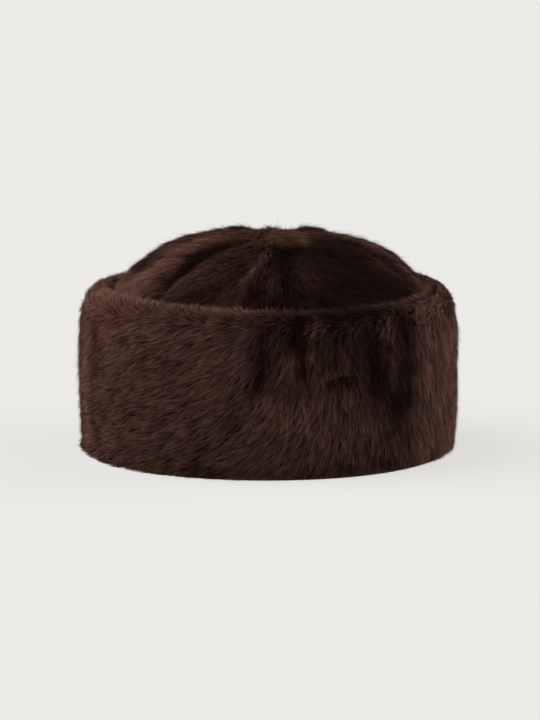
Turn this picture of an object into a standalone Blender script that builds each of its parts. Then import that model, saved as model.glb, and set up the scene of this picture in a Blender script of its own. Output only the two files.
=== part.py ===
"""Fur hat with a wide turned-up cuff around a low domed crown of six gores.

Metres, +Z up, brow towards -Y. The hat stands on its rim at Z = 0, centred on the Z axis.
Azimuths are degrees about Z from the brow, growing towards +X.
"""

import math
from collections import namedtuple

import bmesh
import bpy

# Outside sizes
HAT_WIDTH = 0.229
HAT_LENGTH = 0.241
CUFF_HEIGHT = 0.101
CUFF_DIP = 0.003  # how far the cuff's top edge dips on its +X side of the brow
CROWN_RISE = 0.033  # top of the crown above the cuff's top edge

# Walls, with the fur's depth in them
CUFF_WALL = 0.0185
CROWN_SIDE = 0.007
CROWN_TOP = 0.010

# Seats and clearances
SEAT_GAP = 0.0004  # crown to cuff
SEAM_GAP = 0.0003  # gore to gore
RIM_LIFT = 0.002  # crown's lower edge above the rim
CROWN_SINK = 0.013  # crown's shoulder below the cuff's top edge
CROWN_LEAN = 0.002  # top of the crown towards +X
TIP_RADIUS = 0.0015  # small hole where the gores' points meet

# Relief of the fur
CUFF_FOLD_DEPTH = 0.0035
CROWN_FOLD_DEPTH = 0.0052
SEAM_DEPTH = 0.0025
SEAM_HALF_WIDTH = 0.006
LOCK_WIDTH = 0.015
LOCK_LENGTH = 0.030
LOCK_RELIEF = 0.0009

# Mesh
CUFF_STATIONS = 144
GORE_COLUMNS = 12
SIDE_ROWS = 3

# Cuff section: height as a share of CUFF_HEIGHT, depth as a share of CUFF_WALL from the outside,
# and how much of the fur's relief shows. It runs up the outside, over the roll and down the inside.
CuffRow = namedtuple("CuffRow", "height depth relief")
CUFF_SECTION = (
    CuffRow(0.022, 0.17, 0.3),
    CuffRow(0.055, 0.12, 0.8),
    CuffRow(0.12, 0.07, 1.0),
    CuffRow(0.20, 0.035, 1.0),
    CuffRow(0.30, 0.01, 1.0),
    CuffRow(0.39, 0.0, 1.0),
    CuffRow(0.48, 0.0, 1.0),
    CuffRow(0.57, 0.0, 1.0),
    CuffRow(0.66, 0.005, 1.0),
    CuffRow(0.74, 0.02, 1.0),
    CuffRow(0.81, 0.045, 1.0),
    CuffRow(0.87, 0.08, 1.0),
    CuffRow(0.92, 0.13, 1.0),
    CuffRow(0.96, 0.24, 0.9),
    CuffRow(0.988, 0.42, 0.7),
    CuffRow(1.0, 0.62, 0.6),
    CuffRow(0.985, 0.82, 0.4),
    CuffRow(0.95, 0.94, 0.1),
    CuffRow(0.90, 1.0, 0.0),
    CuffRow(0.60, 1.0, 0.0),
    CuffRow(0.30, 1.0, 0.0),
    CuffRow(0.03, 1.0, 0.0),
    CuffRow(0.0, 0.92, 0.0),
    CuffRow(0.0, 0.60, 0.0),
    CuffRow(0.0, 0.29, 0.0),
)

# Folds of the cuff: foot and head as shares of CUFF_HEIGHT, half width in degrees,
# and height as a share of CUFF_FOLD_DEPTH, a valley being negative
CuffFold = namedtuple("CuffFold", "azimuth foot head half_width height")
CUFF_DIP_AZIMUTH = 52
CUFF_DIP_HALF_WIDTH = 48
CUFF_FOLDS = (
    CuffFold(-59, 0.15, 0.92, 3.5, -0.5),
    CuffFold(-47, 0.80, 0.95, 6.0, -0.5),
    CuffFold(-23, 0.66, 0.90, 8.0, -0.3),
    CuffFold(-1, 0.50, 0.92, 3.5, -0.8),
    CuffFold(5, 0.52, 0.94, 4.0, 0.5),
    CuffFold(11, 0.55, 0.95, 3.5, -1.0),
    CuffFold(23, 0.58, 0.92, 7.0, 0.5),
    CuffFold(23.5, 0.60, 0.66, 5.0, -0.6),
    CuffFold(33, 0.45, 0.92, 3.5, -0.7),
    CuffFold(40, 0.50, 0.94, 4.0, 0.4),
    CuffFold(47, 0.38, 0.95, 4.0, -0.9),
    CuffFold(54, 0.40, 0.92, 4.0, 0.4),
    CuffFold(61, 0.45, 0.90, 4.0, -0.5),
    CuffFold(97, 0.30, 0.93, 5.0, -0.5),
    CuffFold(128, 0.50, 0.95, 5.0, -0.7),
    CuffFold(139, 0.45, 0.90, 6.0, 0.4),
    CuffFold(166, 0.35, 0.92, 5.0, -0.5),
    CuffFold(203, 0.50, 0.95, 5.0, -0.7),
    CuffFold(238, 0.25, 0.90, 6.0, -0.5),
    CuffFold(262, 0.45, 0.95, 5.0, -0.6),
)

# Crown's outline over its shoulder: radius as a share of the crown's own, rise as a share of the
# height from the shoulder to the top
CrownRow = namedtuple("CrownRow", "radius rise")
CROWN_OUTLINE = (
    CrownRow(1.0, 0.0),
    CrownRow(0.986, 0.16),
    CrownRow(0.95, 0.30),
    CrownRow(0.89, 0.425),
    CrownRow(0.81, 0.555),
    CrownRow(0.72, 0.675),
    CrownRow(0.62, 0.78),
    CrownRow(0.51, 0.85),
    CrownRow(0.40, 0.90),
    CrownRow(0.29, 0.94),
    CrownRow(0.18, 0.97),
    CrownRow(0.09, 0.99),
)

# Seams of the crown: azimuth at the cuff and at the top, towards which it turns
Seam = namedtuple("Seam", "cuff_azimuth top_azimuth")
SEAMS = (
    Seam(-46, -24),
    Seam(7, 10),
    Seam(73, 55),
    Seam(130, 118),
    Seam(190, 186),
    Seam(250, 256),
)

# Folds of the crown: azimuths as a seam's, inner and outer ends as shares of the crown's radius,
# half width in degrees at the cuff, and height as a share of CROWN_FOLD_DEPTH
CrownFold = namedtuple("CrownFold", "cuff_azimuth top_azimuth inner outer half_width height")
CROWN_FOLDS = (
    CrownFold(-62, -104, 0.20, 0.90, 9, 0.9),
    CrownFold(-46, -24, 0.22, 0.90, 7, -0.6),
    CrownFold(-35, 23, 0.32, 0.88, 6, 0.6),
    CrownFold(-23, 26, 0.34, 0.90, 5, -0.7),
    CrownFold(-10, 20, 0.36, 0.84, 5, 0.7),
    CrownFold(25, 70, 0.18, 0.50, 9, 0.4),
    CrownFold(48, 60, 0.40, 0.86, 12, 0.3),
    CrownFold(98, 80, 0.25, 0.88, 9, 0.5),
    CrownFold(112, 96, 0.30, 0.88, 6, -0.5),
    CrownFold(150, 140, 0.25, 0.88, 9, 0.6),
    CrownFold(168, 152, 0.30, 0.88, 6, -0.6),
    CrownFold(212, 206, 0.25, 0.88, 9, 0.6),
    CrownFold(232, 222, 0.30, 0.88, 6, -0.5),
    CrownFold(272, 262, 0.25, 0.88, 8, 0.5),
    CrownFold(284, 270, 0.30, 0.88, 6, -0.6),
)

COLLECTION_NAME = "fur_hat"
CUFF_COLOUR = (0.033, 0.015, 0.011)
CROWN_COLOUR = (0.027, 0.012, 0.009)
FUR_ROUGHNESS = 0.85


def smooth_step(low, high, value):
    """Return 0 below low, 1 above high and a smooth rise between them."""
    share = min(max((value - low) / (high - low), 0.0), 1.0)
    return share * share * (3.0 - 2.0 * share)


def hump(distance, half_width):
    """Return a soft bump of height 1 that fades out past half_width."""
    return math.exp(-((distance / half_width) ** 2))


def turn_between(azimuth, other):
    """Return the shortest turn from one azimuth to another, in degrees."""
    return (azimuth - other + 180.0) % 360.0 - 180.0


def oval(azimuth, inset):
    """Return the place in plan on the hat's outside oval, moved in by inset."""
    angle = math.radians(azimuth)
    x = (HAT_WIDTH / 2 - inset) * math.sin(angle)
    y = -(HAT_LENGTH / 2 - inset) * math.cos(angle)
    return x, y


def lock_relief(azimuth, along):
    """Return the height of the fur's locks, which slant round the hat as along grows."""
    locks_round = round(math.pi * HAT_WIDTH / LOCK_WIDTH)
    angle = math.radians(azimuth)
    slope = math.tau * along / LOCK_LENGTH
    narrow = math.sin(locks_round * angle + slope)
    wide = math.sin(locks_round // 2 * angle - 0.6 * slope)
    return LOCK_RELIEF * (0.6 * narrow + 0.4 * wide)


def add_object(name, mesh, colour):
    """Give a mesh its object, its place in the hat's collection and its material."""
    material = bpy.data.materials.new(name + "_fur")
    material.use_nodes = True
    shader = material.node_tree.nodes["Principled BSDF"]
    shader.inputs["Base Color"].default_value = (*colour, 1.0)
    shader.inputs["Roughness"].default_value = FUR_ROUGHNESS
    shader.inputs["Metallic"].default_value = 0.0
    material.diffuse_color = (*colour, 1.0)
    mesh.materials.clear()
    mesh.materials.append(material)
    mesh.shade_smooth()
    piece = bpy.data.objects.new(name, mesh)
    bpy.data.collections[COLLECTION_NAME].objects.link(piece)
    return piece


def cuff_relief(azimuth, height):
    """Return how far the cuff's fur stands out or in, at a share of its height."""
    relief = lock_relief(azimuth, height * CUFF_HEIGHT)
    for fold in CUFF_FOLDS:
        across = hump(turn_between(azimuth, fold.azimuth), fold.half_width)
        reach = smooth_step(fold.foot - 0.08, fold.foot + 0.08, height)
        reach *= 1.0 - smooth_step(fold.head - 0.04, fold.head + 0.06, height)
        relief += CUFF_FOLD_DEPTH * fold.height * across * reach
    return relief


def cuff_edge_height(azimuth):
    """Return the height of the cuff's top edge, which dips a little beside the brow."""
    turn = turn_between(azimuth, CUFF_DIP_AZIMUTH)
    return CUFF_HEIGHT - CUFF_DIP * hump(turn, CUFF_DIP_HALF_WIDTH)


def cuff_point(azimuth, index):
    """Return a point of the cuff's surface, on one row of its section."""
    row = CUFF_SECTION[index]
    before = CUFF_SECTION[index - 1]
    after = CUFF_SECTION[(index + 1) % len(CUFF_SECTION)]
    edge_height = cuff_edge_height(azimuth)
    run_in = (after.depth - before.depth) * CUFF_WALL
    run_up = (after.height - before.height) * edge_height
    length = math.hypot(run_in, run_up)
    relief = row.relief * cuff_relief(azimuth, row.height)
    inset = row.depth * CUFF_WALL - relief * run_up / length
    height = row.height * edge_height + relief * run_in / length
    return (*oval(azimuth, inset), height)


def make_cuff():
    """Make the cuff, a torus whose sections take the cuff's own shape all round."""
    rows = len(CUFF_SECTION)
    bpy.ops.mesh.primitive_torus_add(
        major_segments=CUFF_STATIONS,
        minor_segments=rows,
        major_radius=HAT_WIDTH / 2,
        minor_radius=CUFF_WALL / 2,
    )
    start = bpy.context.object
    mesh = start.data
    mesh.name = "cuff"
    for vertex in mesh.vertices:
        station, row = divmod(vertex.index, rows)
        vertex.co = cuff_point(90.0 + 360.0 * station / CUFF_STATIONS, row)
    bpy.data.objects.remove(start)
    return add_object("cuff", mesh, CUFF_COLOUR)


def crown_meridian():
    """Return the crown's outline from its lower edge to its tip, as radius shares and heights."""
    shoulder = CUFF_HEIGHT - CROWN_SINK
    rise = CROWN_SINK + CROWN_RISE
    outline = []
    for row in range(SIDE_ROWS):
        outline.append((1.0, RIM_LIFT + (shoulder - RIM_LIFT) * row / SIDE_ROWS))
    for row in CROWN_OUTLINE:
        outline.append((row.radius, shoulder + rise * row.rise))
    outline.append((TIP_RADIUS / crown_radius(90.0), shoulder + rise))
    return outline


def crown_radius(azimuth):
    """Return the radius of the crown's side wall, inside the cuff, at an azimuth."""
    return math.hypot(*oval(azimuth, CUFF_WALL + SEAT_GAP))


def gathered_azimuth(cuff_azimuth, top_azimuth, radius_share):
    """Return where a seam or fold of the crown lies, as it turns towards the top."""
    return cuff_azimuth + (top_azimuth - cuff_azimuth) * (1.0 - radius_share) ** 2


def crown_relief(azimuth, radius_share, seam_distance):
    """Return how far the crown's fur stands out or in: its folds, locks and seam grooves."""
    relief = lock_relief(azimuth, radius_share * HAT_WIDTH / 2)
    for fold in CROWN_FOLDS:
        centre = gathered_azimuth(fold.cuff_azimuth, fold.top_azimuth, radius_share)
        width = fold.half_width / (0.4 + 0.6 * radius_share)
        across = hump(turn_between(azimuth, centre), width)
        reach = smooth_step(fold.inner - 0.08, fold.inner + 0.10, radius_share)
        reach *= 1.0 - smooth_step(fold.outer - 0.05, fold.outer + 0.08, radius_share)
        relief += CROWN_FOLD_DEPTH * fold.height * across * reach
    relief -= SEAM_DEPTH * hump(seam_distance, SEAM_HALF_WIDTH)
    return relief * (1.0 - smooth_step(0.92, 0.99, radius_share)) * smooth_step(0.0, 0.2, radius_share)


def meridian_run(meridian, row, radius):
    """Return the outline's direction at a row, as the parts of a unit step that go in and up."""
    low_share, low_height = meridian[max(row - 1, 0)]
    high_share, high_height = meridian[min(row + 1, len(meridian) - 1)]
    run_in = (low_share - high_share) * radius
    run_up = high_height - low_height
    length = math.hypot(run_in, run_up)
    return run_in / length, run_up / length


def gore_point(meridian, seams, across, row, outside):
    """Return a point of one gore.

    meridian is the crown's outline, seams the gore's two seams, across runs from 0 to 1 between
    them, row is a row of the outline, and outside tells the fur's side from the inner side.
    """
    radius_share, height = meridian[row]
    left, right = (
        gathered_azimuth(seam.cuff_azimuth, seam.top_azimuth, radius_share) for seam in seams
    )
    azimuth = left + (right - left) * across
    radius = crown_radius(azimuth)
    azimuth += math.degrees(SEAM_GAP / 2 / (radius * radius_share)) * (1.0 - 2.0 * across)
    run_in, run_up = meridian_run(meridian, row, radius)
    if outside:
        seam_distance = math.radians(right - left) * radius * radius_share * min(across, 1.0 - across)
        offset = crown_relief(azimuth, radius_share, seam_distance)
    else:
        offset = -(CROWN_SIDE + (CROWN_TOP - CROWN_SIDE) * (1.0 - radius_share))
    radius_share = max(radius_share + offset * run_up / radius, TIP_RADIUS / radius)
    height += offset * run_in
    shoulder = CUFF_HEIGHT - CROWN_SINK
    lean = CROWN_LEAN * max(height - shoulder, 0.0) / (CROWN_RISE + CROWN_SINK)
    x, y = oval(azimuth, CUFF_WALL + SEAT_GAP)
    return x * radius_share + lean, y * radius_share, height


def divided_block(columns, rows):
    """Return a cube from -1 to 1, divided along X into columns and along Y into rows."""
    block = bmesh.new()
    bmesh.ops.create_cube(block, size=2.0)
    for axis, cuts in ((0, columns - 1), (1, rows - 1)):
        edges = [
            edge for edge in block.edges if abs(edge.verts[0].co[axis] - edge.verts[1].co[axis]) > 1.0
        ]
        bmesh.ops.subdivide_edges(block, edges=edges, cuts=cuts, use_grid_fill=True)
    return block


def make_gore(number, left, right):
    """Make one gore of the crown between two seams, from a block bent to the crown's shape."""
    name = f"crown_gore_{number}"
    meridian = crown_meridian()
    rows = len(meridian) - 1
    block = divided_block(GORE_COLUMNS, rows)
    for vertex in block.verts:
        across = (vertex.co.x + 1.0) / 2.0
        crowded = (1.0 - math.cos(math.pi * across)) / 2.0
        row = round((vertex.co.y + 1.0) / 2.0 * rows)
        vertex.co = gore_point(
            meridian, (left, right), (across + crowded) / 2.0, row, vertex.co.z > 0.0
        )
    mesh = bpy.data.meshes.new(name)
    block.to_mesh(mesh)
    block.free()
    return add_object(name, mesh, CROWN_COLOUR)


def main():
    """Build the hat: its cuff, then the gores of its crown in order round it."""
    for piece in list(bpy.data.objects):
        bpy.data.objects.remove(piece)
    collection = bpy.data.collections.new(COLLECTION_NAME)
    bpy.context.scene.collection.children.link(collection)
    make_cuff()
    for index, left in enumerate(SEAMS):
        right = SEAMS[(index + 1) % len(SEAMS)]
        if index == len(SEAMS) - 1:
            right = Seam(right.cuff_azimuth + 360.0, right.top_azimuth + 360.0)
        make_gore(index + 1, left, right)


main()
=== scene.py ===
"""Looks of a dark brown fur cap with a turned-up cuff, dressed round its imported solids.

Each solid gives its pelt: a copy of it whose furred side is sunk by the depth of the fur. The fur
is made of tapered hairs rooted on the pelts, combed by short tables and gathered into tufts.
Azimuths are degrees about Z from the brow, growing towards +X. Naps are degrees on the skin: 0 is
towards growing azimuth, 90 up the hat and 270 down it.
"""

import logging
import math
from dataclasses import dataclass, field
from enum import Enum, IntEnum

import bpy
import numpy as np
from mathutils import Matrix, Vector


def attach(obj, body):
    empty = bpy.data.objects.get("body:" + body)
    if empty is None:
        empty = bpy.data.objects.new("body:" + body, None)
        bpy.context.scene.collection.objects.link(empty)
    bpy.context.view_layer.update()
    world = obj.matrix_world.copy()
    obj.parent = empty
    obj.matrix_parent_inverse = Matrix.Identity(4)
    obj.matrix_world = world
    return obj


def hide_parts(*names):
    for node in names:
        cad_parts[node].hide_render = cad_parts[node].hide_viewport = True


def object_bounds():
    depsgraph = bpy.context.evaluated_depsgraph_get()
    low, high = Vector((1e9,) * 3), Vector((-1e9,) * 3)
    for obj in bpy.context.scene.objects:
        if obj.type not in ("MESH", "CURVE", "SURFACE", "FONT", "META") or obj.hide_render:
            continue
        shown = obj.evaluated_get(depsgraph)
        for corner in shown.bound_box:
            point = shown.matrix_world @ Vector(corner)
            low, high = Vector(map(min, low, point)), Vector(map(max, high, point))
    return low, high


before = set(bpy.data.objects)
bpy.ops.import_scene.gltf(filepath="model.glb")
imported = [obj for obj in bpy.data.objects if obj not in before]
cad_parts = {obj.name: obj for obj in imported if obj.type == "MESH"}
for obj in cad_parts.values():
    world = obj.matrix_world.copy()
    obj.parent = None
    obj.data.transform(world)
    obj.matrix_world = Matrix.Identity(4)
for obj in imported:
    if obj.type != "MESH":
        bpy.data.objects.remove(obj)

log = logging.getLogger("fur_cap")

CAD_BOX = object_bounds()
MM = 0.001
UV_MAP = "OFBake"
TINY = 1e-12
HASH_SEED = 0x27D4EB2F165667C5
HASH_AXES = (0x9E3779B97F4A7C15, 0xC2B2AE3D27D4EB4F, 0x165667B19E3779F9)
HASH_MIX = 0xBF58476D1CE4E5B9


class Coat(Enum):
    """The two coats of fur, by the record's material slot."""

    CUFF = "cuff_fur"
    CROWN = "crown_fur"


class Draw(IntEnum):
    """The random fields of a coat, by what each adds to the coat's seed."""

    LOCKS = 10
    TUFTS = 20
    NAP_WAVE = 30
    TONE_WAVE = 40
    PARTING_WAVE = 50


def linear(hex_colour: str) -> tuple[float, float, float, float]:
    """Turn an sRGB hex colour into linear RGBA.

    Args:
        hex_colour: six hex digits, such as "3a2721".

    Returns:
        The colour as Blender's sockets take it.
    """
    parts = [int(hex_colour[i : i + 2], 16) / 255.0 for i in (0, 2, 4)]
    values = [p / 12.92 if p <= 0.04045 else ((p + 0.055) / 1.055) ** 2.4 for p in parts]
    return (*values, 1.0)


def add_node(tree: bpy.types.NodeTree, kind: str, links: dict | None = None, **values) -> bpy.types.Node:
    """Add a node with its settings and links.

    Args:
        tree: the node tree.
        kind: the node's type.
        links: an input's name or number, and the output socket that feeds it.
        **values: a property of the node, or else an input's name with _ for a space.

    Returns:
        The new node.
    """
    node = tree.nodes.new(kind)
    for name, value in values.items():
        if hasattr(node, name):
            setattr(node, name, value)
        else:
            node.inputs[name.replace("_", " ")].default_value = value
    for name, socket in (links or {}).items():
        tree.links.new(socket, node.inputs[name])
    return node


def start_material(name: str) -> tuple[bpy.types.Material, bpy.types.NodeTree, bpy.types.Node]:
    """Start a material.

    Args:
        name: the material's name.

    Returns:
        The material, its node tree and its Principled shader.
    """
    material = bpy.data.materials.new(name)
    material.use_nodes = True
    return material, material.node_tree, material.node_tree.nodes["Principled BSDF"]


def set_stops(ramp: bpy.types.ColorRamp, stops: tuple[tuple[float, str], ...]) -> None:
    """Set a colour ramp's stops.

    Args:
        ramp: the ramp, with its two first stops.
        stops: the place and sRGB hex colour of each stop, in order.
    """
    while len(ramp.elements) < len(stops):
        ramp.elements.new(1.0)
    for element, (place, colour) in zip(ramp.elements, stops):
        element.position = place
        element.color = linear(colour)


@dataclass(frozen=True)
class FurFinish:
    """Dyed sheared fur. Each hair is near black at its root and shows its brown along its upper
    half, and the sheen is the pale bloom that such fur has where it turns from the eye."""

    name: str
    dark: tuple[str, str, str]
    light: tuple[str, str, str]
    middle_stop: float = 0.5
    roughness: float = 0.55
    specular: float = 0.006
    sheen: float = 0.015
    sheen_roughness: float = 0.4
    sheen_colour: str = "c9a894"

    def material(self) -> bpy.types.Material:
        """Return the hairs' material: across the map runs a hair's tone, up it the hair's length."""
        material, tree, shader = start_material(self.name)
        place = add_node(tree, "ShaderNodeUVMap", uv_map=UV_MAP)
        parts = add_node(tree, "ShaderNodeSeparateXYZ", {0: place.outputs[0]})
        ramps = []
        for root, middle, tip in (self.dark, self.light):
            ramp = add_node(tree, "ShaderNodeValToRGB", {0: parts.outputs[1]})
            set_stops(ramp.color_ramp, ((0.0, root), (self.middle_stop, middle), (1.0, tip)))
            ramps.append(ramp.outputs[0])
        mix = add_node(
            tree, "ShaderNodeMix", {0: parts.outputs[0], 6: ramps[0], 7: ramps[1]}, data_type="RGBA"
        )
        tree.links.new(mix.outputs[2], shader.inputs["Base Color"])
        shader.inputs["Roughness"].default_value = self.roughness
        shader.inputs["Specular IOR Level"].default_value = self.specular
        shader.inputs["Sheen Weight"].default_value = self.sheen
        shader.inputs["Sheen Roughness"].default_value = self.sheen_roughness
        shader.inputs["Sheen Tint"].default_value = linear(self.sheen_colour)
        return material


@dataclass(frozen=True)
class SkinFinish:
    """Dyed lamb skin, brushed. Its nap clouds the brown, and its fine grain takes the shine off."""

    name: str
    colour: str
    shadow: str
    cloud: float = 12.0 * MM
    grain: float = 1.2 * MM
    grain_depth: float = 0.3 * MM
    grain_strength: float = 0.6
    roughness: float = 0.9
    specular: float = 0.2
    sheen: float = 0.3

    def material(self) -> bpy.types.Material:
        """Return the skin's material, with its clouds and grain by place on the hat."""
        material, tree, shader = start_material(self.name)
        place = add_node(tree, "ShaderNodeTexCoord").outputs["Object"]
        cloud = add_node(
            tree, "ShaderNodeTexNoise", {"Vector": place}, Scale=1.0 / self.cloud, Detail=3.0
        )
        grain = add_node(
            tree, "ShaderNodeTexNoise", {"Vector": place}, Scale=1.0 / self.grain, Detail=4.0
        )
        ramp = add_node(tree, "ShaderNodeValToRGB", {0: cloud.outputs[0]})
        set_stops(ramp.color_ramp, ((0.3, self.shadow), (0.7, self.colour)))
        bump = add_node(
            tree, "ShaderNodeBump", {"Height": grain.outputs[0]},
            Strength=self.grain_strength, Distance=self.grain_depth
        )
        tree.links.new(ramp.outputs[0], shader.inputs["Base Color"])
        tree.links.new(bump.outputs[0], shader.inputs["Normal"])
        shader.inputs["Roughness"].default_value = self.roughness
        shader.inputs["Specular IOR Level"].default_value = self.specular
        shader.inputs["Sheen Weight"].default_value = self.sheen
        return material


FINISHES = {
    Coat.CUFF: FurFinish(
        "sheared_fur_cuff", ("080403", "0d0605", "180c09"), ("21120e", "5f3f34", "967062")
    ),
    Coat.CROWN: FurFinish(
        "sheared_fur_crown", ("080302", "0d0504", "170a08"), ("20110c", "5c3c31", "9c7465")
    ),
}
# The furred skin is near black: partly its own dark underwool, partly painted shade deep among the
# hairs.
UNDERWOOL = SkinFinish("dark_underwool_and_painted_shade", "0f0705", "090403", specular=0.01, sheen=0.0)
SUEDE = SkinFinish("dyed_lamb_suede", "33221c", "241712", sheen=0.08)


def lattice_random(cells: np.ndarray, seed: int) -> np.ndarray:
    """Return three steady random numbers from 0 to 1 for each cell of a lattice.

    Args:
        cells: the cells as whole numbers, three to a row.
        seed: which set of numbers.

    Returns:
        Random numbers, three to a row.
    """
    parts = cells.astype(np.int64).astype(np.uint64)
    key = np.full(len(parts), np.uint64(seed * HASH_SEED % 2**64))
    for axis, factor in enumerate(HASH_AXES):
        key ^= parts[:, axis] * np.uint64(factor)
    numbers = []
    for _ in HASH_AXES:
        key ^= key >> np.uint64(31)
        key *= np.uint64(HASH_MIX)
        key ^= key >> np.uint64(27)
        top_53_bits = key >> np.uint64(11)
        numbers.append(top_53_bits.astype(np.float64) / 2.0**53)
    return np.stack(numbers, axis=-1)


def nearest_centre(points: np.ndarray, spacing: float, seed: int) -> tuple[np.ndarray, np.ndarray]:
    """Find the tuft or lock that each hair belongs to.

    Args:
        points: the hairs' roots.
        spacing: the mean distance between centres.
        seed: which scatter of centres.

    Returns:
        The step from each root to its centre, and that centre's three traits from -1 to 1.
    """
    cells = np.floor(points / spacing).astype(np.int64)
    best = np.full(len(points), np.inf)
    step = np.zeros_like(points)
    home = np.zeros_like(cells)
    for shift in np.ndindex(3, 3, 3):
        near = cells + np.array(shift) - 1
        offset = (near + lattice_random(near, seed)) * spacing - points
        distance = np.einsum("ij,ij->i", offset, offset)
        closer = distance < best
        best[closer] = distance[closer]
        step[closer] = offset[closer]
        home[closer] = near[closer]
    return step, lattice_random(home, seed + 1) * 2.0 - 1.0


def drift(points: np.ndarray, spacing: float, seed: int) -> np.ndarray:
    """Return a smooth random field from -1 to 1.

    Args:
        points: where it is read.
        spacing: the size of its waves.
        seed: which field.

    Returns:
        One value for each point.
    """
    scaled = points / spacing
    cells = np.floor(scaled)
    share = scaled - cells
    share = share * share * (3.0 - 2.0 * share)
    total = np.zeros(len(points))
    for corner in np.ndindex(2, 2, 2):
        weight = np.prod(np.where(corner, share, 1.0 - share), axis=1)
        total += weight * lattice_random(cells + np.array(corner), seed)[:, 0]
    return total * 2.0 - 1.0


def unit(vectors: np.ndarray) -> np.ndarray:
    """Return the vectors at length one."""
    return vectors / np.maximum(np.linalg.norm(vectors, axis=1, keepdims=True), TINY)


def smooth_step(low: float, high: float, value: np.ndarray) -> np.ndarray:
    """Return 0 below low, 1 above high and a smooth rise between them."""
    share = np.clip((value - low) / (high - low), 0.0, 1.0)
    return share * share * (3.0 - 2.0 * share)


def stretch(foot: float, head: float, soft: float, value: np.ndarray) -> np.ndarray:
    """Return 1 from foot to head and 0 outside, with soft ends."""
    rise = smooth_step(foot - soft, foot + soft, value)
    return rise * (1.0 - smooth_step(head - soft, head + soft, value))


def turn_from(azimuth: np.ndarray, centre: np.ndarray | float) -> np.ndarray:
    """Return the shortest turns from a centre to the azimuths, in degrees."""
    return (azimuth - centre + 180.0) % 360.0 - 180.0


def read_table(azimuth: np.ndarray, rows: tuple, column: str) -> np.ndarray:
    """Read a column of a table, with a row for some azimuths, at each of these azimuths."""
    turns = [row.azimuth for row in rows]
    return np.interp(azimuth, turns, [getattr(row, column) for row in rows])


@dataclass
class Oval:
    """The hat's outside in plan, by which azimuths and shares of its radius are told."""

    half_width: float = (CAD_BOX[1][0] - CAD_BOX[0][0]) / 2.0
    half_length: float = (CAD_BOX[1][1] - CAD_BOX[0][1]) / 2.0
    cuff_depth: float = 19.0 * MM

    def azimuth(self, places: np.ndarray) -> np.ndarray:
        """Return the azimuths of the places, from -180 to 180."""
        across = places[:, 0] / self.half_width
        forward = -places[:, 1] / self.half_length
        return np.degrees(np.arctan2(across, forward))

    def crown_share(self, places: np.ndarray) -> np.ndarray:
        """Return how far out the places lie, 1 being where the crown meets the cuff."""
        flat = np.hypot(places[:, 0] / self.half_width, places[:, 1] / self.half_length)
        return flat * self.half_width / self.crown_radius()

    def crown_radius(self) -> float:
        """Return half the crown's width, inside the cuff."""
        return self.half_width - self.cuff_depth


OVAL = Oval()


@dataclass
class Roots:
    """Where hairs leave the skin, with the way out of the skin at each."""

    places: np.ndarray
    out: np.ndarray

    def directions(self) -> tuple[np.ndarray, np.ndarray]:
        """Return the ways up the hat and round it, on the skin at each root."""
        radial = unit(self.places * np.array([1.0, 1.0, 0.0]))
        out_across = np.einsum("ij,ij->i", self.out, radial)[:, None]
        up = out_across * np.array([0.0, 0.0, 1.0]) - self.out[:, 2:] * radial
        up = unit(up - np.einsum("ij,ij->i", up, self.out)[:, None] * self.out)
        return up, np.cross(up, self.out)

    def heading(self, nap: np.ndarray, lift: np.ndarray | float) -> np.ndarray:
        """Return unit steps at these naps and lifts."""
        up, side = self.directions()
        turn = np.radians(nap)[:, None]
        flat = np.cos(turn) * side + np.sin(turn) * up
        rise = np.radians(np.reshape(lift, (-1, 1)))
        return np.cos(rise) * flat + np.sin(rise) * self.out

    def shown(self, nap: np.ndarray, reach: float) -> np.ndarray:
        """Return where the paler half of each hair lies, which is this far along its nap."""
        return self.places + reach * self.heading(nap, 0.0)


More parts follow.
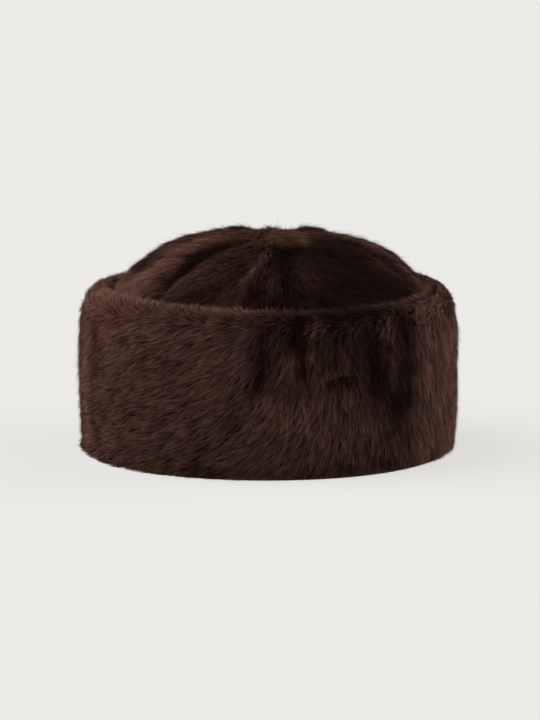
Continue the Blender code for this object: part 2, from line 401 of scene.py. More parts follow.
@dataclass
class Pelt:
    """The skin under one stretch of fur, made from its solid."""

    node: str
    name: str
    coat: Coat
    sink: float
    weld: float = 0.01 * MM
    smooth_angle: float = 50.0
    piece: bpy.types.Object = field(init=False)
    places: np.ndarray = field(init=False)
    faces: np.ndarray = field(init=False)
    normals: np.ndarray = field(init=False)

    def bears_fur(self, centres: np.ndarray, out: np.ndarray) -> np.ndarray:
        """Tell which faces bear fur, by their centres and their ways out."""
        raise NotImplementedError

    def sink_share(self, places: np.ndarray) -> np.ndarray:
        """Return how much of the sink each vertex of the furred side takes."""
        raise NotImplementedError

    def widen(self, places: np.ndarray, faces: np.ndarray, weighted: np.ndarray) -> np.ndarray:
        """Return a step for each vertex, by the bare faces and their ways out, as long as twice
        their areas, so that the skin meets its neighbours."""
        return np.zeros_like(places)

    def build(self) -> None:
        """Copy the solid, merge its loose triangles, sink its furred side and dress it."""
        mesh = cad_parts[self.node].data.copy()
        self.piece = bpy.data.objects.new(self.name, mesh)
        bpy.context.scene.collection.objects.link(self.piece)
        bpy.ops.object.select_all(action="DESELECT")
        bpy.context.view_layer.objects.active = self.piece
        self.piece.select_set(True)
        bpy.ops.object.mode_set(mode="EDIT")
        bpy.ops.mesh.select_all(action="SELECT")
        bpy.ops.mesh.remove_doubles(threshold=self.weld)
        bpy.ops.object.mode_set(mode="OBJECT")
        furred = self._sink()
        mesh.materials.clear()
        mesh.materials.append(SUEDE.material())
        mesh.materials.append(UNDERWOOL.material())
        mesh.polygons.foreach_set("material_index", furred.astype(np.int32))
        bpy.ops.object.shade_smooth_by_angle(angle=math.radians(self.smooth_angle))
        bpy.ops.object.select_all(action="DESELECT")
        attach(self.piece, "root")
        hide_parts(self.node)
        log.info("%s: %d faces, %d of them furred", self.name, len(furred), furred.sum())

    def _sink(self) -> np.ndarray:
        """Move the furred side in along its own normals, and keep it for the hairs.

        Returns:
            True for each face that bears fur.
        """
        mesh = self.piece.data
        places = np.zeros(len(mesh.vertices) * 3)
        mesh.vertices.foreach_get("co", places)
        places = places.reshape(-1, 3)
        faces = np.zeros(len(mesh.polygons) * 3, dtype=np.int32)
        mesh.polygons.foreach_get("vertices", faces)
        faces = faces.reshape(-1, 3)
        first, second, third = (places[faces[:, i]] for i in range(3))
        weighted = np.cross(second - first, third - first)
        furred = self.bears_fur((first + second + third) / 3.0, unit(weighted))
        normals = np.zeros_like(places)
        for corner in range(3):
            np.add.at(normals, faces[furred, corner], weighted[furred])
        normals = unit(normals)
        places += self.widen(places, faces[~furred], weighted[~furred])
        places -= normals * (self.sink * self.sink_share(places))[:, None]
        places[:, 2] = np.maximum(places[:, 2], 0.0)
        mesh.vertices.foreach_set("co", places.ravel())
        mesh.update()
        self.places = places
        self.faces = faces[furred]
        self.normals = normals
        return furred

    def sow(self, hairs_per_mm2: float, random: np.random.Generator) -> Roots:
        """Scatter roots evenly over the furred side.

        Args:
            hairs_per_mm2: how close they stand.
            random: the source of the scatter.

        Returns:
            The roots.
        """
        corners = self.places[self.faces]
        areas = np.linalg.norm(
            np.cross(corners[:, 1] - corners[:, 0], corners[:, 2] - corners[:, 0]), axis=1
        )
        count = round(areas.sum() / 2.0 / MM**2 * hairs_per_mm2)
        chosen = random.choice(len(areas), size=count, p=areas / areas.sum())
        first, second = random.random((2, count))
        over = first + second > 1.0
        first[over] = 1.0 - first[over]
        second[over] = 1.0 - second[over]
        weights = np.stack([1.0 - first - second, first, second], axis=1)[:, :, None]
        places = (corners[chosen] * weights).sum(axis=1)
        out = unit((self.normals[self.faces[chosen]] * weights).sum(axis=1))
        return Roots(places, out)


@dataclass
class CuffPelt(Pelt):
    """The cuff's skin: furred outside and over the roll of its top edge. The roll is sunk less on
    the left behind and on the right, and the foot isn't sunk but pushed out at the brow."""

    sink: float = 3.5 * MM
    foot: float = 0.5 * MM
    foot_reach: float = 14.0 * MM
    brow_foot: float = -0.7
    brow_from: float = 60.0 * MM
    brow_to: float = 110.0 * MM
    roll: float = 16.0 * MM
    least_outward: float = 0.3
    roll_least_up: float = -0.3
    left_roll: float = -0.1
    left_from: float = -20.0 * MM
    left_to: float = 60.0 * MM
    behind_to: float = 60.0 * MM
    right_roll: float = -0.5
    right_from: float = 20.0 * MM
    right_to: float = 100.0 * MM

    def bears_fur(self, centres: np.ndarray, out: np.ndarray) -> np.ndarray:
        """Choose the outer faces and those of the roll."""
        radial = unit(centres * np.array([1.0, 1.0, 0.0]))
        faces_out = np.einsum("ij,ij->i", out, radial) > self.least_outward
        top = centres[:, 2].max()
        over_roll = (centres[:, 2] > top - self.roll) & (out[:, 2] > self.roll_least_up)
        return (faces_out | over_roll) & (centres[:, 2] > self.foot)

    def sink_share(self, places: np.ndarray) -> np.ndarray:
        """Sink the wall by all of the sink, and its roll and foot by their shares."""
        top = places[:, 2].max()
        left = smooth_step(0.0, self.behind_to, places[:, 1])
        left *= smooth_step(self.left_from, self.left_to, -places[:, 0])
        right = smooth_step(self.right_from, self.right_to, places[:, 0])
        more = self.left_roll * left + self.right_roll * right
        share = 1.0 + more * smooth_step(top - self.roll, top, places[:, 2])
        above_foot = smooth_step(0.0, self.foot_reach, places[:, 2])
        foot = self.brow_foot * smooth_step(self.brow_from, self.brow_to, -places[:, 1])
        return share * (foot + (1.0 - foot) * above_foot)


@dataclass
class GorePelt(Pelt):
    """The skin of one of the crown's gores: furred over its shoulder, above the cuff's hold. It is
    sunk less at the top, towards the right and in a band that stands proud on the left."""

    sink: float = 3.2 * MM
    shoulder: float = 86.0 * MM
    shoulder_reach: float = 6.0 * MM
    centre_height: float = 30.0 * MM
    least_outward: float = 0.5
    top_share: float = 0.3
    top_reach: float = 22.0 * MM
    lean: float = 0.2
    proud: float = 0.45
    proud_x: float = -48.0 * MM
    proud_reach: float = 24.0 * MM
    seam_fill: float = 0.45 * MM
    seam_turn: float = 0.6
    seam_foot: float = 4.0 * MM

    def bears_fur(self, centres: np.ndarray, out: np.ndarray) -> np.ndarray:
        """Choose the outer faces above the shoulder."""
        away = unit(centres - np.array([0.0, 0.0, self.centre_height]))
        outer = np.einsum("ij,ij->i", out, away) > self.least_outward
        return outer & (centres[:, 2] > self.shoulder)

    def sink_share(self, places: np.ndarray) -> np.ndarray:
        """Sink the gore above the shoulder, and not at all in the hidden wall."""
        share = smooth_step(self.shoulder, self.shoulder + self.shoulder_reach, places[:, 2])
        flat = np.hypot(places[:, 0], places[:, 1])
        share *= self.top_share + (1.0 - self.top_share) * smooth_step(0.0, self.top_reach, flat)
        share *= 1.0 - self.lean * places[:, 0] / OVAL.half_width
        from_proud = (places[:, 0] - self.proud_x) / self.proud_reach
        return share * (1.0 - self.proud * np.exp(-(from_proud**2)))

    def widen(self, places: np.ndarray, faces: np.ndarray, weighted: np.ndarray) -> np.ndarray:
        """Push the walls of the gore's two seams out, so that no light shows through the seams."""
        radial = unit(places[faces].mean(axis=1) * np.array([1.0, 1.0, 0.0]))
        round_it = np.cross([0.0, 0.0, 1.0], radial)
        walls = np.abs(np.einsum("ij,ij->i", unit(weighted), round_it)) > self.seam_turn
        steps = np.zeros_like(places)
        for corner in range(3):
            np.add.at(steps, faces[walls, corner], weighted[walls])
        return unit(steps) * self.seam_fill

    def seam_distance(self, places: np.ndarray) -> np.ndarray:
        """Return how far each place lies from the gore's two seams.

        Args:
            places: points on the gore.

        Returns:
            The distances in metres.
        """
        edges = np.sort(self.faces[:, [0, 1, 1, 2, 2, 0]].reshape(-1, 2), axis=1)
        pairs, counts = np.unique(edges, axis=0, return_counts=True)
        rim = self.places[pairs[counts == 1]]
        rim = rim[rim[:, :, 2].min(axis=1) > self.shoulder + self.seam_foot]
        nearest = np.full(len(places), np.inf)
        for start, end in rim:
            run = end - start
            share = np.clip((places - start) @ run / (run @ run), 0.0, 1.0)
            gap = np.linalg.norm(places - start - share[:, None] * run, axis=1)
            nearest = np.minimum(nearest, gap)
        return nearest


@dataclass(frozen=True)
class Pile:
    """The measures of a coat. Lengths are in metres, turns and lifts in degrees. The hairs are some
    four times as wide as real ones, which would be too fine to show."""

    hairs_per_mm2: float
    length: float
    root_lift: float
    tip_lift: float
    half_width: float = 0.10 * MM
    lock_spacing: float = 8.0 * MM
    lock_pull: float = 0.10
    lock_turn: float = 8.0
    lock_lift: float = 2.5
    tuft_spacing: float = 1.6 * MM
    tuft_pull: float = 0.34
    tuft_turn: float = 9.0
    tuft_lift: float = 3.0
    middle_pull: float = 0.4
    hair_turn: float = 10.0
    hair_lift: float = 5.0
    hair_roll: float = 30.0
    length_spread: float = 0.26
    drift_spacing: float = 28.0 * MM
    drift_turn: float = 12.0
    curl: float = 14.0
    stray_share: float = 0.04
    stray_lift: float = 12.0
    tone_base: float = 0.42
    tone_floor: float = 0.04
    tone_margin: float = 0.02
    drift_share: float = 0.26
    drift_share_spacing: float = 17.0 * MM
    lock_share: float = 0.18
    tuft_share: float = 0.38
    hair_share: float = 0.95
    stray_tone: float = 0.55


@dataclass
class Style:
    """What the tables ask of each hair, over what its pile gives it."""

    nap: np.ndarray
    tone: np.ndarray
    length: np.ndarray
    lift: np.ndarray
    scatter: np.ndarray


@dataclass
class Fur:
    """Hairs as arrays, a row each: points along them, half widths across them and tones."""

    roots: np.ndarray
    middles: np.ndarray
    tips: np.ndarray
    across: np.ndarray
    tones: np.ndarray

    tone_width: float = 0.004
    middle_share: float = 0.5
    floor_gap: float = 0.3 * MM
    least_share: float = 0.02

    def pick(self, chosen: np.ndarray) -> "Fur":
        """Return only the chosen hairs."""
        parts = (self.roots, self.middles, self.tips, self.across, self.tones)
        return Fur(*(part[chosen] for part in parts))

    def keep_off_floor(self, points: np.ndarray) -> np.ndarray:
        """Shorten each hair that would reach through the floor.

        Args:
            points: each hair's four points, its root first.

        Returns:
            The points, all above the floor.
        """
        run = points - points[:, :1]
        room = points[:, 0, 2] - self.floor_gap
        drop = np.maximum(-run[:, :, 2].min(axis=1), TINY)
        share = np.clip(room / drop, self.least_share, 1.0)
        points = points[:, :1] + run * share[:, None, None]
        points[:, :, 2] = np.maximum(points[:, :, 2], self.floor_gap)
        return points

    def piece(self, name: str, coat: Coat, material: bpy.types.Material) -> bpy.types.Object:
        """Make the hairs one piece: each is a blade that is widest at its middle, where it bends.

        Args:
            name: the piece's name.
            coat: which coat it belongs to; not used.
            material: its finish.

        Returns:
            The piece.
        """
        count = len(self.roots)
        right = self.middles + self.across
        left = self.middles - self.across
        points = np.stack([self.roots, right, left, self.tips], axis=1)
        points = self.keep_off_floor(points)
        tones = self.tones[:, None] + self.tone_width * np.array([0.0, 1.0, -1.0, 0.0])
        along = np.broadcast_to([0.0, self.middle_share, self.middle_share, 1.0], tones.shape)
        places = np.stack([tones, along], axis=2)
        corners = np.array([0, 1, 2, 2, 1, 3])
        mesh = bpy.data.meshes.new(name)
        mesh.vertices.add(count * 4)
        mesh.vertices.foreach_set("co", points.ravel())
        mesh.loops.add(count * 6)
        loops = np.arange(count)[:, None] * 4 + corners
        mesh.loops.foreach_set("vertex_index", loops.ravel().astype(np.int32))
        mesh.polygons.add(count * 2)
        mesh.polygons.foreach_set("loop_start", np.arange(count * 2, dtype=np.int32) * 3)
        layer = mesh.uv_layers.new(name=UV_MAP)
        layer.data.foreach_set("uv", places[:, corners].ravel())
        mesh.materials.append(material)
        mesh.update(calc_edges=True)
        mesh.shade_smooth()
        piece = bpy.data.objects.new(name, mesh)
        bpy.context.scene.collection.objects.link(piece)
        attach(piece, "root")
        log.info("%s: %d hairs", name, count)
        return piece


def grow(roots: Roots, style: Style, pile: Pile, seed: int) -> Fur:
    """Grow a coat: comb each hair, then gather the hairs into tufts and the tufts into locks.

    Args:
        roots: where the hairs start.
        style: what the tables ask of each hair.
        pile: the coat's measures.
        seed: which scatter of tufts, locks and hairs.

    Returns:
        The hairs.
    """
    random = np.random.default_rng(seed)
    count = len(roots.places)
    turn_noise, lift_noise, roll_noise, length_noise, tone_noise = random.uniform(-1, 1, (5, count))
    lock_step, lock = nearest_centre(roots.places, pile.lock_spacing, seed + Draw.LOCKS)
    tuft_step, tuft = nearest_centre(roots.places, pile.tuft_spacing, seed + Draw.TUFTS)
    wave = drift(roots.places, pile.drift_spacing, seed + Draw.NAP_WAVE)
    stray = random.random(count) < pile.stray_share

    nap = style.nap + pile.drift_turn * wave + pile.lock_turn * lock[:, 0]
    nap += pile.tuft_turn * tuft[:, 0] + (pile.hair_turn + style.scatter) * turn_noise
    lift = style.lift + pile.lock_lift * lock[:, 1] + pile.tuft_lift * tuft[:, 1]
    lift += pile.hair_lift * lift_noise + pile.stray_lift * stray
    length = pile.length * style.length * (1.0 + pile.length_spread * length_noise)

    half = length[:, None] / 2.0
    start = roots.heading(nap, lift + pile.root_lift)
    end = roots.heading(nap + pile.curl * tuft[:, 2], lift + pile.tip_lift)
    pull = pile.tuft_pull * tuft_step + pile.lock_pull * lock_step
    pull -= np.einsum("ij,ij->i", pull, roots.out)[:, None] * roots.out
    middles = roots.places + half * start + pile.middle_pull * pull
    tips = middles + half * end + (1.0 - pile.middle_pull) * pull

    across = unit(np.cross(start, roots.out))
    raised = np.cross(across, start)
    roll = np.radians(pile.hair_roll * roll_noise)[:, None]
    across = (np.cos(roll) * across + np.sin(roll) * raised) * pile.half_width

    wave = drift(roots.places, pile.drift_share_spacing, seed + Draw.TONE_WAVE)
    vary = 1.0 + pile.drift_share * wave
    vary += pile.lock_share * lock[:, 2] + pile.tuft_share * tuft[:, 2]
    vary += pile.hair_share * tone_noise + pile.stray_tone * stray
    # The tables' tones carry painted shade and painted highlights; vary adds the hairs' own random tone.
    tones = np.maximum(pile.tone_base + style.tone, pile.tone_floor) * vary
    tones = np.clip(tones, pile.tone_margin, 1.0 - pile.tone_margin)
    return Fur(roots.places, middles, tips, across, tones)


@dataclass(frozen=True)
class CuffNap:
    """How the cuff's fur lies at one azimuth, near its top edge and near its foot."""

    azimuth: float
    head: float
    foot: float


@dataclass(frozen=True)
class Parting:
    """Where the fur parts under the pelt's top edge at one azimuth, how it lies above that, and how
    marked the parting is, from 0 to 1."""

    azimuth: float
    depth: float
    length: float
    nap: float
    mark: float


@dataclass(frozen=True)
class CuffStroke:
    """A stretch of the cuff that shows darker or lighter, its ends as shares of the height: mostly
    painted shade and painted highlights, partly the fur's own tone.
    """

    azimuth: float
    foot: float
    head: float
    half_width: float
    tone: float
    slant: float = 0.0
    soft: float = 0.05

    def shade(self, azimuth: np.ndarray, height: np.ndarray) -> np.ndarray:
        """Return what the stroke adds to the tones at these azimuths and heights."""
        middle = (self.foot + self.head) / 2.0
        centre = self.azimuth + self.slant * (height - middle)
        across = np.exp(-((turn_from(azimuth, centre) / self.half_width) ** 2))
        return self.tone * across * stretch(self.foot, self.head, self.soft, height)


@dataclass(frozen=True)
class Dent:
    """A small fold in the cuff's fur, as azimuths and shares of the height. Most hairs over its
    middle end just past it, and those under it are darker: painted shade under the fold."""

    path: tuple[tuple[float, float], ...] = (
        (15.0, 0.590), (18.0, 0.612), (22.7, 0.650), (29.0, 0.626)
    )
    fade: float = 4.5
    most: float = 0.94
    past: float = 1.3 * MM
    width: float = 3.0 * MM
    tone: float = -0.20
    stub: float = 0.12
    seed: int = 7

    def press(
        self, azimuth: np.ndarray, place: np.ndarray, edge: np.ndarray, reach: np.ndarray
    ) -> tuple[np.ndarray, np.ndarray]:
        """Shorten the hairs over the fold.

        Args:
            azimuth: the roots' azimuths.
            place: the roots' heights in metres.
            edge: the heights of the pelt's top edge there, in metres.
            reach: the hairs' lengths in metres.

        Returns:
            The share of each length that is left, and the change of each tone.
        """
        turns = [point[0] for point in self.path]
        over = place - edge * np.interp(azimuth, turns, [point[1] for point in self.path])
        share = smooth_step(0.0, self.fade, np.minimum(azimuth - turns[0], turns[-1] - azimuth))
        within = np.random.default_rng(self.seed).random(len(azimuth)) < self.most * share
        share_left = (over + self.past) / reach
        cut = within & (over > 0.0) & (share_left < 1.0)
        under = within & (over <= 0.0) & (over > -self.width)
        return np.where(cut, np.maximum(share_left, self.stub), 1.0), self.tone * under


@dataclass
class CuffFur:
    """The coat of the cuff, combed to its left and down, with a parted ridge along its top."""

    pelt: CuffPelt
    dent: Dent = Dent()
    pile: Pile = Pile(hairs_per_mm2=3.9, length=10.5 * MM, root_lift=32.0, tip_lift=6.0)
    quarters: int = 4
    seed: int = 3
    unmarked_lift: float = -9.0
    marked_lift: float = 6.0
    ridge_order: float = 7.0
    inner_nap: float = 110.0
    inner_lift: float = 24.0
    inner_tone: float = 0.15
    show_reach: float = 6.0 * MM
    parting_wave: float = 1.2 * MM
    wave_spacing: float = 14.0 * MM
    swirl_above: float = 1.5 * MM
    swirl_below: float = 5.0 * MM
    soft_swirl: float = 12.0 * MM
    foot_nap_to: float = 0.1
    head_nap_from: float = 0.9
    foot_shade: float = 0.16
    foot_shade_to: float = 0.10
    edge_step: float = 5.0
    # Painted shadow under the ridge where the fur parts, and a painted highlight on the ridge above it.
    parting_shadow_tone: float = 0.13
    parting_shadow_width: float = 1.6 * MM
    ridge_highlight_tone: float = 0.05
    shade_lift: float = 26.0
    partings: tuple[Parting, ...] = (
        Parting(-180, 3.0 * MM, 0.55, 118, 0.3),
        Parting(-110, 3.0 * MM, 0.55, 118, 0.4),
        Parting(-80, 3.0 * MM, 0.60, 118, 0.7),
        Parting(-50, 3.2 * MM, 0.58, 118, 0.9),
        Parting(-20, 2.1 * MM, 0.52, 125, 0.9),
        Parting(-4, 1.4 * MM, 0.50, 145, 0.8),
        Parting(12, 1.2 * MM, 0.50, 162, 0.6),
        Parting(35, 1.0 * MM, 0.60, 180, 0.3),
        Parting(60, 0.8 * MM, 0.75, 192, 0.0),
        Parting(88, 1.2 * MM, 0.75, 176, 0.0),
        Parting(120, 1.8 * MM, 0.65, 146, 0.0),
        Parting(150, 2.5 * MM, 0.60, 130, 0.2),
        Parting(180, 3.0 * MM, 0.55, 118, 0.3),
    )
    naps: tuple[CuffNap, ...] = tuple(
        CuffNap(*row)
        for row in (
            (-180, 225, 220), (-150, 215, 210), (-120, 210, 205), (-90, 228, 220), (-60, 215, 203),
            (-35, 213, 200), (-15, 222, 212), (0, 240, 225), (12, 262, 238), (25, 266, 245),
            (40, 270, 258), (55, 272, 272), (75, 270, 276), (90, 264, 270), (120, 250, 248),
            (150, 235, 230), (180, 225, 220),
        )
    )
    strokes: tuple[CuffStroke, ...] = (
        # broad shade in front
        CuffStroke(4, 0.52, 1.10, 11.0, -0.19),
        CuffStroke(20, 0.64, 1.10, 9.0, -0.20),
        CuffStroke(36, 0.34, 1.10, 13.0, -0.29),
        CuffStroke(38, 0.05, 0.30, 16.0, -0.20),
        # dark streaks of painted shade in the folds, and two thin painted highlights
        CuffStroke(-1.6, 0.58, 0.94, 3.0, -0.17, slant=6.0, soft=0.08),
        CuffStroke(-3.2, 0.53, 0.64, 2.6, -0.15, slant=10.0, soft=0.04),
        CuffStroke(8, 0.79, 1.00, 4.2, -0.22, soft=0.08),
        CuffStroke(10.2, 0.60, 0.86, 1.4, -0.26),
        CuffStroke(32, 0.48, 0.88, 3.6, -0.10),
        CuffStroke(46.5, 0.58, 0.97, 5.2, -0.24),
        CuffStroke(45, 0.44, 0.66, 6.0, -0.18),
        CuffStroke(44.5, 0.46, 0.62, 0.8, 0.16),
        CuffStroke(48, 0.52, 0.74, 0.7, 0.16),
        CuffStroke(43.5, 0.26, 0.50, 5.0, -0.18, slant=20.0),
        # pale locks, partly their own paler tone and partly painted highlight
        CuffStroke(5.5, 0.60, 0.76, 2.0, 0.18),
        CuffStroke(12.8, 0.73, 0.96, 1.3, 0.26),
        CuffStroke(23.0, 0.68, 0.80, 1.2, 0.12),
        CuffStroke(38, 0.82, 0.96, 2.2, 0.20),
        CuffStroke(38.5, 0.56, 0.77, 1.1, 0.16),
        CuffStroke(54, 0.50, 0.97, 4.6, 0.20),
        # right side: painted highlights towards its edge, and a thin dark line of painted shade
        CuffStroke(56, 0.02, 0.50, 7.0, 0.07),
        CuffStroke(60, 0.55, 0.73, 1.2, -0.26),
        CuffStroke(67, 0.20, 0.95, 3.6, 0.16),
        CuffStroke(83, 0.05, 0.92, 9.0, 0.21),
        # a paler band under the streaks, and painted shade at the foot
        CuffStroke(4, 0.32, 0.44, 9.0, 0.10, slant=-60.0),
        CuffStroke(23.5, 0.02, 0.13, 4.0, -0.20),
        CuffStroke(38.5, 0.02, 0.09, 3.2, -0.20),
        # small dark marks of painted shade on the left
        CuffStroke(-48.5, 0.89, 0.94, 2.4, -0.24, soft=0.02),
        CuffStroke(-48, 0.76, 0.78, 1.6, -0.16, soft=0.02),
        CuffStroke(-24, 0.79, 0.82, 1.9, -0.22, soft=0.02),
        CuffStroke(-34, 0.30, 0.39, 2.6, -0.20, soft=0.03),
        CuffStroke(-13, 0.36, 0.39, 2.4, -0.16, soft=0.02),
        CuffStroke(-41, 0.11, 0.14, 3.0, -0.18, soft=0.02),
        # left edge: painted sheen streaks with painted shade between them
        CuffStroke(-73, 0.10, 0.92, 3.4, 0.14),
        CuffStroke(-66, 0.20, 0.90, 1.6, -0.18),
        CuffStroke(-62.5, 0.14, 0.80, 1.0, 0.10),
        CuffStroke(-80, 0.08, 0.90, 2.6, -0.12),
        # ridge: painted highlights on its lit stretches and painted shade right of the brow
        CuffStroke(-72, 0.92, 1.10, 34.0, 0.28),
        CuffStroke(88, 0.93, 1.10, 22.0, 0.26),
        CuffStroke(-8, 0.96, 1.10, 22.0, 0.06),
        CuffStroke(26, 0.95, 1.10, 18.0, -0.16),
        # broad shade on the left
        CuffStroke(-25, 0.00, 0.30, 24.0, -0.05),
        CuffStroke(-45, 0.10, 1.00, 40.0, -0.03),
    )

    def build(self) -> None:
        """Grow the coat and part it into quarters round the hat."""
        roots = self.pelt.sow(self.pile.hairs_per_mm2, np.random.default_rng(self.seed))
        fur = grow(roots, self.style(roots), self.pile, self.seed)
        azimuth = OVAL.azimuth(roots.places) % 360.0
        quarter = (azimuth / (360.0 / self.quarters)).astype(int)
        material = FINISHES[Coat.CUFF].material()
        for index in range(self.quarters):
            fur.pick(quarter == index).piece(f"cuff_fur_{index + 1}", Coat.CUFF, material)

    def edge_height(self, azimuth: np.ndarray) -> np.ndarray:
        """Return the height of the pelt's top edge at each azimuth."""
        places = self.pelt.places
        stations = np.round(OVAL.azimuth(places) / self.edge_step).astype(int)
        turn = round(360.0 / self.edge_step)
        around = np.arange(-turn // 2, turn // 2 + 1)
        heights = [places[(stations - station) % turn == 0, 2].max() for station in around]
        return np.interp(azimuth, around * self.edge_step, heights)

    def style(self, roots: Roots) -> Style:
        """Read the tables at each root.

        Args:
            roots: the roots.

        Returns:
            The hairs' style.
        """
        azimuth = OVAL.azimuth(roots.places)
        edge = self.edge_height(azimuth)
        radial = unit(roots.places * np.array([1.0, 1.0, 0.0]))
        inside = np.einsum("ij,ij->i", roots.out, radial) < 0.0

        mark = read_table(azimuth, self.partings, "mark")
        wave = drift(roots.places, self.wave_spacing, self.seed + Draw.PARTING_WAVE)
        parting = read_table(azimuth, self.partings, "depth") + self.parting_wave * wave
        past = edge - roots.places[:, 2] - parting
        soft = self.swirl_below + self.soft_swirl * (1.0 - mark)
        below = smooth_step(0.0, 1.0, (past + self.swirl_above) / (self.swirl_above + soft))
        below = np.where(inside, 0.0, below)

        head = read_table(azimuth, self.naps, "head")
        foot = read_table(azimuth, self.naps, "foot")
        height = roots.places[:, 2] / edge
        nap = foot + (head - foot) * smooth_step(self.foot_nap_to, self.head_nap_from, height)
        ridge_nap = read_table(azimuth, self.partings, "nap")
        nap = np.where(inside, self.inner_nap, ridge_nap + (nap - ridge_nap) * below)
        lift = self.unmarked_lift + (self.marked_lift - self.unmarked_lift) * mark
        lift = lift * (1.0 - below) + self.inner_lift * inside
        ridge_length = read_table(azimuth, self.partings, "length")
        length = ridge_length + (1.0 - ridge_length) * below
        left, tone = self.dent.press(azimuth, roots.places[:, 2], edge, self.pile.length * length)

        shown = roots.shown(nap, self.show_reach)
        height = np.maximum(shown[:, 2], 0.0) / edge
        # Painted shade and painted highlights from the strokes, read where each hair shows.
        for stroke in self.strokes:
            tone += stroke.shade(OVAL.azimuth(shown), height)
        lift += self.shade_lift * np.maximum(-tone, 0.0)
        tone += self.inner_tone * inside
        # Painted shadow under the ridge where the fur parts, and a painted highlight on the ridge.
        line = np.exp(-(((past - self.swirl_above) / self.parting_shadow_width) ** 2))
        tone += self.ridge_highlight_tone * (1.0 - below) - self.parting_shadow_tone * mark * line
        tone -= self.foot_shade * (1.0 - smooth_step(0.0, self.foot_shade_to, height))
        return Style(nap, tone, length * left, lift, -self.ridge_order * (1.0 - below))


@dataclass(frozen=True)
class CrownNap:
    """How the crown's fur lies at one azimuth."""

    azimuth: float
    nap: float


@dataclass(frozen=True)
class CrownStroke:
    """A stretch of the crown that shows darker or lighter: painted highlights on its folds' ridges
    and painted shade in their valleys and along the cuff. Its path is told outwards from the top,
    as shares of the crown's radius and the azimuths there."""

    path: tuple[tuple[float, float], ...]
    half_width: float
    tone: float
    soft: float = 0.05

    def shade(self, azimuth: np.ndarray, radius: np.ndarray) -> np.ndarray:
        """Return what the stroke adds to the tones.

        Args:
            azimuth: the roots' azimuths.
            radius: how far out they are.

        Returns:
            The change of each tone.
        """
        radii = [point[0] for point in self.path]
        centre = np.interp(radius, radii, [point[1] for point in self.path])
        along = radius * OVAL.crown_radius()
        across = np.radians(turn_from(azimuth, centre)) * along / self.half_width
        reach = stretch(radii[0], radii[-1], self.soft, radius)
        return self.tone * reach * np.exp(-(across**2))


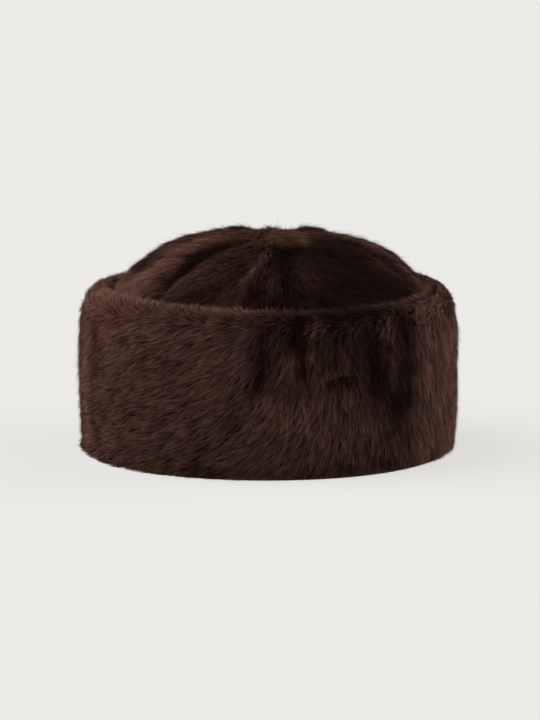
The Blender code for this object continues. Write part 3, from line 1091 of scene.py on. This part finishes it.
@dataclass
class CrownFur:
    """The coat of the crown, combed from its top down to the cuff and parted at the brow."""

    pelts: list[GorePelt]
    # The crown's low base tone is partly its darker fur and partly painted shade.
    pile: Pile = Pile(
        hairs_per_mm2=3.9, length=10.0 * MM, root_lift=24.0, tip_lift=2.0, stray_share=0.06,
        stray_lift=14.0, stray_tone=0.80, tone_base=0.155, tuft_share=0.42, hair_share=0.90
    )
    top_from: float = 0.04
    top_to: float = 0.40
    # Painted highlight on the crown's top.
    top_highlight_tone: float = 0.32
    top_lift: float = -12.0
    top_shorter: float = 0.1
    show_reach: float = 6.0 * MM
    whorl_to: float = 0.20
    top_scatter: float = 150.0
    seed: int = 5
    seed_step: int = 100
    seam_reach: float = 4.0 * MM
    seam_length: float = 0.85
    # Painted shade in the seams' grooves.
    seam_shade_tone: float = -0.08
    shoulder_reach: float = 12.0 * MM
    shoulder_length: float = 0.65
    shade_lift: float = 26.0
    naps: tuple[CrownNap, ...] = tuple(
        CrownNap(*row)
        for row in (
            (-180, 260), (-150, 268), (-120, 266), (-90, 260), (-60, 250), (-30, 225),
            (-8, 236), (7, 266), (25, 305), (45, 326), (65, 324), (90, 290),
            (120, 280), (150, 270), (180, 260),
        )
    )
    # Painted highlights on the folds' ridges, the top, the left shoulder and the right rim; painted
    # shade in the fold valleys and where the crown meets the cuff.
    strokes: tuple[CrownStroke, ...] = tuple(
        CrownStroke(*row)
        for row in (
            (((0.18, -110), (0.31, -67), (0.54, -60), (0.74, -56), (0.90, -60)), 5.2 * MM, 0.86),
            (((0.84, -74), (1.10, -72)), 30.0 * MM, 0.72),
            (((0.08, -36), (0.27, -51), (0.49, -48), (0.84, -47), (0.94, -47)), 3.5 * MM, -0.12),
            (((0.45, -15), (0.61, -22), (0.75, -28), (0.86, -32)), 5.0 * MM, 0.09),
            (((0.67, -10), (0.75, -14), (0.90, -24)), 4.0 * MM, -0.07),
            (((0.46, 0), (0.68, -5), (0.78, -8), (0.84, -10)), 1.8 * MM, 0.40),
            (((0.84, -6), (0.92, -6)), 4.0 * MM, -0.12),
            (((0.40, 12), (0.67, 8), (0.86, 9), (0.98, 5)), 6.0 * MM, -0.12),
            (((0.26, 60), (0.32, 38), (0.46, 32)), 1.5 * MM, 0.50),
            (((0.44, 48), (0.70, 56)), 9.0 * MM, -0.08),
            (((0.35, 92), (0.53, 86), (0.71, 86), (0.84, 84), (1.00, 80)), 4.0 * MM, 0.26),
            (((0.50, 78), (0.70, 76), (0.83, 75), (0.95, 75)), 1.8 * MM, -0.16),
            (((0.86, 58), (1.10, 66)), 11.0 * MM, -0.22),
            (((0.86, 30), (1.10, 40)), 40.0 * MM, -0.12),
            (((0.45, 35), (1.00, 45)), 34.0 * MM, -0.11),
            (((0.0, 20), (0.20, 20)), 20.0 * MM, 0.34),
            (((0.12, 8), (0.34, 8)), 10.0 * MM, 0.04),
            (((0.90, 4), (1.05, 4)), 12.0 * MM, -0.12),
        )
    )

    def build(self) -> None:
        """Grow the coat, a piece for each gore."""
        material = FINISHES[Coat.CROWN].material()
        for index, pelt in enumerate(self.pelts):
            seed = self.seed + self.seed_step * index
            roots = pelt.sow(self.pile.hairs_per_mm2, np.random.default_rng(seed))
            fur = grow(roots, self.style(roots, pelt), self.pile, self.seed)
            fur.piece(f"crown_fur_{index + 1}", Coat.CROWN, material)

    def style(self, roots: Roots, pelt: GorePelt) -> Style:
        """Read the tables at each root of a gore.

        Args:
            roots: the roots.
            pelt: the gore's skin.

        Returns:
            The hairs' style.
        """
        nap = read_table(OVAL.azimuth(roots.places), self.naps, "nap")
        near_seam = 1.0 - smooth_step(0.0, self.seam_reach, pelt.seam_distance(roots.places))
        clear = pelt.shoulder + self.shoulder_reach
        over_shoulder = smooth_step(pelt.shoulder, clear, roots.places[:, 2])
        length = 1.0 - (1.0 - self.seam_length) * near_seam
        length *= self.shoulder_length + (1.0 - self.shoulder_length) * over_shoulder
        radius = OVAL.crown_share(roots.places)
        scatter = self.top_scatter * (1.0 - smooth_step(self.top_from, self.whorl_to, radius))
        lift = self.top_lift * (1.0 - smooth_step(self.whorl_to, self.top_to, radius))

        shown = roots.shown(nap, self.show_reach)
        radius = OVAL.crown_share(shown)
        near_top = 1.0 - smooth_step(self.top_from, self.top_to, radius)
        length *= 1.0 - self.top_shorter * near_top
        # Painted highlight on the top, and painted shade along the seams.
        tone = self.seam_shade_tone * near_seam * (1.0 - near_top) + self.top_highlight_tone * near_top
        # Painted shade and painted highlights from the strokes, read where each hair shows.
        for stroke in self.strokes:
            tone += stroke.shade(OVAL.azimuth(shown), radius)
        lift += self.shade_lift * np.maximum(-tone, 0.0)
        return Style(nap, tone, length, lift, scatter)


@dataclass(frozen=True)
class Light:
    """A wide soft light. It shines from the way given, and spread is how many degrees it takes up."""

    name: str
    towards: tuple[float, float, float]
    strength: float
    spread: float

    def build(self) -> None:
        """Hang the light."""
        light = bpy.data.lights.new(self.name, "SUN")
        light.energy = self.strength
        light.angle = math.radians(self.spread)
        lamp = bpy.data.objects.new(self.name, light)
        lamp.rotation_euler = Vector(self.towards).to_track_quat("Z", "Y").to_euler()
        bpy.context.scene.collection.objects.link(lamp)


@dataclass
class Studio:
    """The pale floor, the soft light and the camera at the photograph's angle."""

    image_height_px: int = 720
    mm_per_px: float = 0.6085
    distance: float = 2.6
    elevation: float = 8.5
    aim: tuple[float, float, float] = (0.9 * MM, 0.0, 53.7 * MM)
    sensor: float = 36.0
    clip_end: float = 100.0
    lights: tuple[Light, ...] = (
        Light("key_light", (-0.75, 0.0, 0.85), 3.3, 60.0),
        Light("edge_light", (0.9, 0.2, 0.4), 2.4, 50.0),
    )
    floor_size: float = 60.0
    floor_colour: str = "616160"
    floor_glow_colour: str = "edebe7"
    floor_glow: float = 0.78
    world_colour: str = "f3f2ef"
    world_strength: float = 0.45

    def build(self) -> None:
        """Set up the floor, the lights and the camera."""
        self.floor()
        self.sky()
        for light in self.lights:
            light.build()
        self.camera()
        bpy.context.scene.view_settings.view_transform = "Standard"

    def floor(self) -> None:
        """Lay the floor, even matt backdrop paper that is lit from all round."""
        bpy.ops.object.select_all(action="DESELECT")
        bpy.ops.mesh.primitive_plane_add(size=self.floor_size)
        floor = bpy.context.object
        floor.name = "studio_floor"
        material, _, shader = start_material("matt_backdrop_paper")
        shader.inputs["Base Color"].default_value = linear(self.floor_colour)
        shader.inputs["Roughness"].default_value = 1.0
        shader.inputs["Specular IOR Level"].default_value = 0.0
        shader.inputs["Emission Color"].default_value = linear(self.floor_glow_colour)
        shader.inputs["Emission Strength"].default_value = self.floor_glow
        floor.data.materials.append(material)

    def sky(self) -> None:
        """Fill the room with even pale light."""
        world = bpy.data.worlds.new("studio")
        world.use_nodes = True
        background = world.node_tree.nodes["Background"]
        background.inputs["Color"].default_value = linear(self.world_colour)
        background.inputs["Strength"].default_value = self.world_strength
        bpy.context.scene.world = world

    def camera(self) -> None:
        """Place the camera where the photograph was taken from."""
        lens = self.sensor * self.distance / (self.image_height_px * self.mm_per_px * MM)
        data = bpy.data.cameras.new("camera")
        data.sensor_fit = "VERTICAL"
        data.sensor_height = self.sensor
        data.lens = lens
        data.clip_end = self.clip_end
        camera = bpy.data.objects.new("camera", data)
        angle = math.radians(self.elevation)
        back = Vector((0.0, -math.cos(angle), math.sin(angle)))
        camera.location = Vector(self.aim) + back * self.distance
        camera.rotation_euler = back.to_track_quat("Z", "Y").to_euler()
        bpy.context.scene.collection.objects.link(camera)
        bpy.context.scene.camera = camera


def main() -> None:
    """Build the studio, the pelts and the fur, in that order."""
    logging.basicConfig(level=logging.INFO, format="%(message)s")
    Studio().build()
    cuff = CuffPelt("cuff", "cuff_pelt", Coat.CUFF)
    cuff.build()
    gores = []
    for node in sorted(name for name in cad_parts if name.startswith("crown_gore")):
        gore = GorePelt(node, node.replace("gore", "pelt"), Coat.CROWN)
        gore.build()
        gores.append(gore)
    CuffFur(cuff).build()
    CrownFur(gores).build()


if __name__ == "__main__":
    main()
